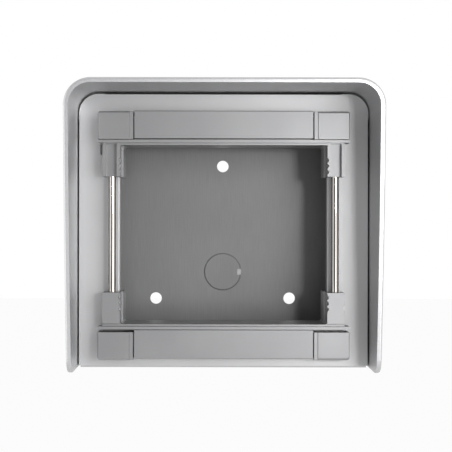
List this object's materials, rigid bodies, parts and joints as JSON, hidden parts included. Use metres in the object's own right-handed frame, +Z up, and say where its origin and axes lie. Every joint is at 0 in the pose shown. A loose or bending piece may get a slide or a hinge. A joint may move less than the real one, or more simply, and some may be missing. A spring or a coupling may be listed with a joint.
{
  "type": "intercom rain shield",
  "caption": "Surface-mounted case with a deep, sloping sheet-metal hood around a rectangular intercom module frame with cast heads, rods and corner caps.",
  "frame": {"origin": "on the wall face, centred across the width and level with the centre of the module frame", "axes": "+X to the right seen from the front, +Z up, +Y into the wall; the front faces -Y"},
  "size_m": [0.1586, 0.0894, 0.1475],
  "materials": {
    "hood_aluminium": "matte blasted sheet with bright cut edges",
    "case_aluminium": "satin sheet",
    "back_aluminium": "fine vertical grain",
    "casting": "satin silver-grey coating on a zinc casting",
    "cover_plastic": "fine satin, silver grey",
    "rod_steel": "polished",
    "seal_rubber": "matte black",
    "zinc_steel": "zinc plated"
  },
  "bodies": {
    "case": {"hood": "hood_aluminium", "front_housing": "case_aluminium", "back_plate": "back_aluminium", "top_head": "casting", "bottom_head": "casting", "top_head_seal": "seal_rubber", "bottom_head_seal": "seal_rubber", "left_rod": "rod_steel", "right_rod": "rod_steel", "top_cover_strip": "cover_plastic", "bottom_cover_strip": "cover_plastic", "head_screws": "zinc_steel", "plate_nuts": "zinc_steel", "hood_washers": "zinc_steel", "hood_nuts": "zinc_steel", "back_screws": "zinc_steel"},
    "top_left_cap": {"top_left_cap": "cover_plastic"},
    "top_right_cap": {"top_right_cap": "cover_plastic"},
    "bottom_left_cap": {"bottom_left_cap": "cover_plastic"},
    "bottom_right_cap": {"bottom_right_cap": "cover_plastic"}
  },
  "joints": [
    {"name": "top_left_cap_pull", "type": "slide", "parent": "case", "child": "top_left_cap", "axis": [0, -1, 0], "range_m": [0, 0.014]},
    {"name": "top_right_cap_pull", "type": "slide", "parent": "case", "child": "top_right_cap", "axis": [0, -1, 0], "range_m": [0, 0.014]},
    {"name": "bottom_left_cap_pull", "type": "slide", "parent": "case", "child": "bottom_left_cap", "axis": [0, -1, 0], "range_m": [0, 0.014]},
    {"name": "bottom_right_cap_pull", "type": "slide", "parent": "case", "child": "bottom_right_cap", "axis": [0, -1, 0], "range_m": [0, 0.014]}
  ]
}
